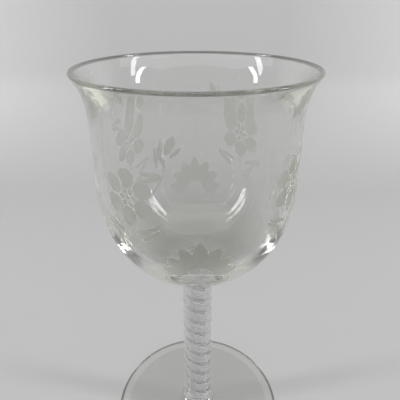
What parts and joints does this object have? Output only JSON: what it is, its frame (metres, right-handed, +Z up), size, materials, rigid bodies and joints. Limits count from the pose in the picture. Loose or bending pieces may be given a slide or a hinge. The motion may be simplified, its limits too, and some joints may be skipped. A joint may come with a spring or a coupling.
{
  "type": "wine glass",
  "caption": "Stemmed wine glass with a flared bell bowl, a clear stem holding a spiral of white threads, and a conical foot.",
  "frame": {"origin": "on the table, at the middle of the foot's resting ring", "axes": "+Z up along the glass's axis"},
  "size_m": [0.0732, 0.0732, 0.152],
  "materials": {
    "clear_glass": "gloss",
    "white_glass": "gloss"
  },
  "bodies": {
    "root": {"bowl": "clear_glass", "stem_rod": "clear_glass", "foot": "clear_glass", "core_cane": "clear_glass", "band_a_thread_1": "white_glass", "band_a_thread_2": "white_glass", "band_a_thread_3": "white_glass", "band_a_thread_4": "white_glass", "band_b_thread_1": "white_glass", "band_b_thread_2": "white_glass", "band_b_thread_3": "white_glass", "band_b_thread_4": "white_glass", "core_thread_1": "white_glass", "core_thread_2": "white_glass", "core_thread_3": "white_glass", "core_thread_4": "white_glass", "core_thread_5": "white_glass", "core_thread_6": "white_glass"}
  },
  "joints": []
}
